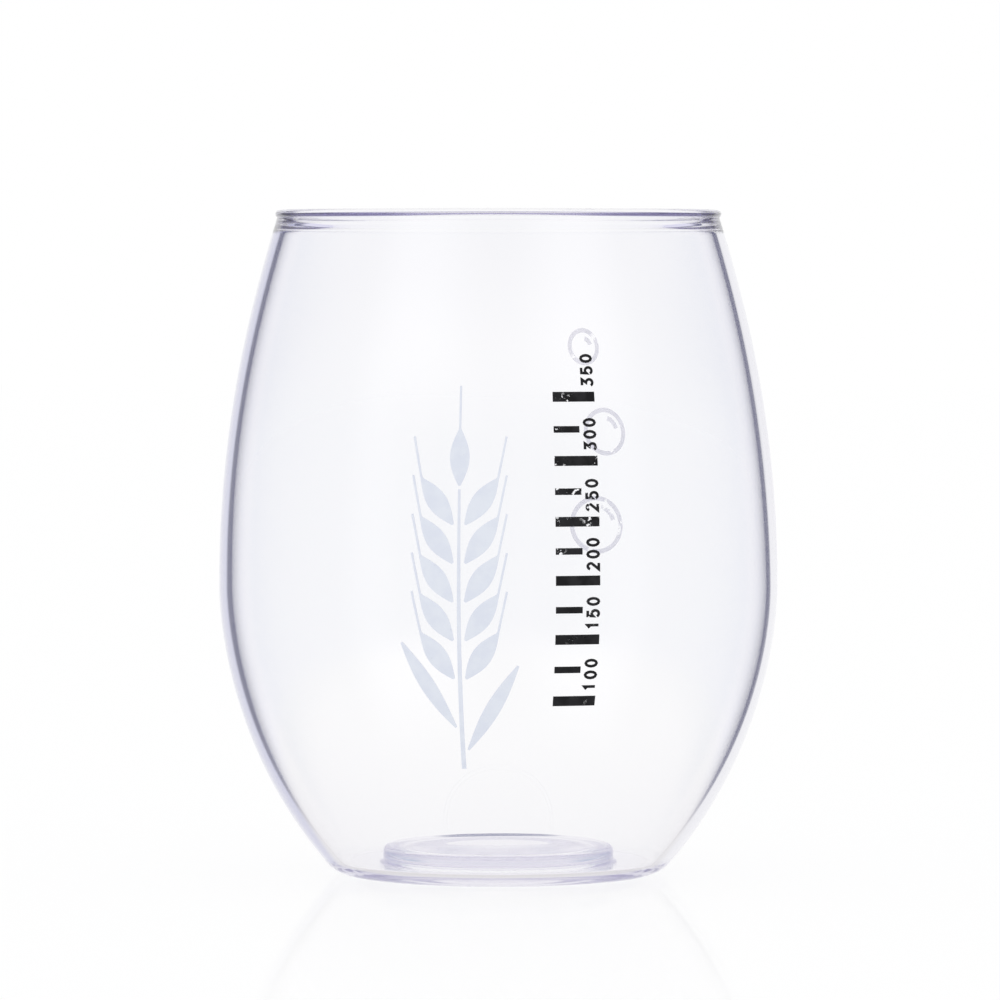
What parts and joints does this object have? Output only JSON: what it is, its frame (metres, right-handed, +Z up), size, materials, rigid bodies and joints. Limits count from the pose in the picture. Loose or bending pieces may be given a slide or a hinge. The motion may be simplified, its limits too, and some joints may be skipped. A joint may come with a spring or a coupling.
{
  "type": "stemless plastic beer tumbler",
  "caption": "Clear stemless plastic tumbler for beer: round-bellied thin shell with a thick beaded lip, a pushed-up base, and a printed barley ear, fill scale and bubbles.",
  "frame": {"origin": "on the table, under the middle of the base", "axes": "+Z up along the cup's axis; the printed front faces -Y"},
  "size_m": [0.0884, 0.0885, 0.105],
  "materials": {
    "clear_plastic": "clear, polished mould finish with a faint blue-violet tint",
    "pale_ink": "thin satin screen-printed ink, pale grey-blue",
    "black_ink": "satin screen-printed ink, slightly worn",
    "faint_ink": "very thin satin screen-printed ink, light grey"
  },
  "bodies": {
    "root": {"cup_body": "clear_plastic", "barley_stem": "pale_ink", "barley_grain_top": "pale_ink", "barley_leaf_left": "pale_ink", "barley_grain_left_1": "pale_ink", "barley_grain_left_2": "pale_ink", "barley_grain_left_3": "pale_ink", "barley_grain_left_4": "pale_ink", "barley_grain_left_5": "pale_ink", "barley_leaf_right": "pale_ink", "barley_grain_right_1": "pale_ink", "barley_grain_right_2": "pale_ink", "barley_grain_right_3": "pale_ink", "barley_grain_right_4": "pale_ink", "barley_grain_right_5": "pale_ink", "scale_bar_100": "black_ink", "scale_bar_125": "black_ink", "scale_bar_150": "black_ink", "scale_bar_175": "black_ink", "scale_bar_200": "black_ink", "scale_bar_225": "black_ink", "scale_bar_250": "black_ink", "scale_bar_275": "black_ink", "scale_bar_300": "black_ink", "scale_bar_325": "black_ink", "scale_bar_350": "black_ink", "bubble_top_ring": "faint_ink", "bubble_top_glint": "faint_ink", "bubble_middle_ring": "faint_ink", "bubble_middle_glint": "faint_ink", "bubble_bottom_ring": "faint_ink", "bubble_bottom_glint": "faint_ink"}
  },
  "joints": []
}
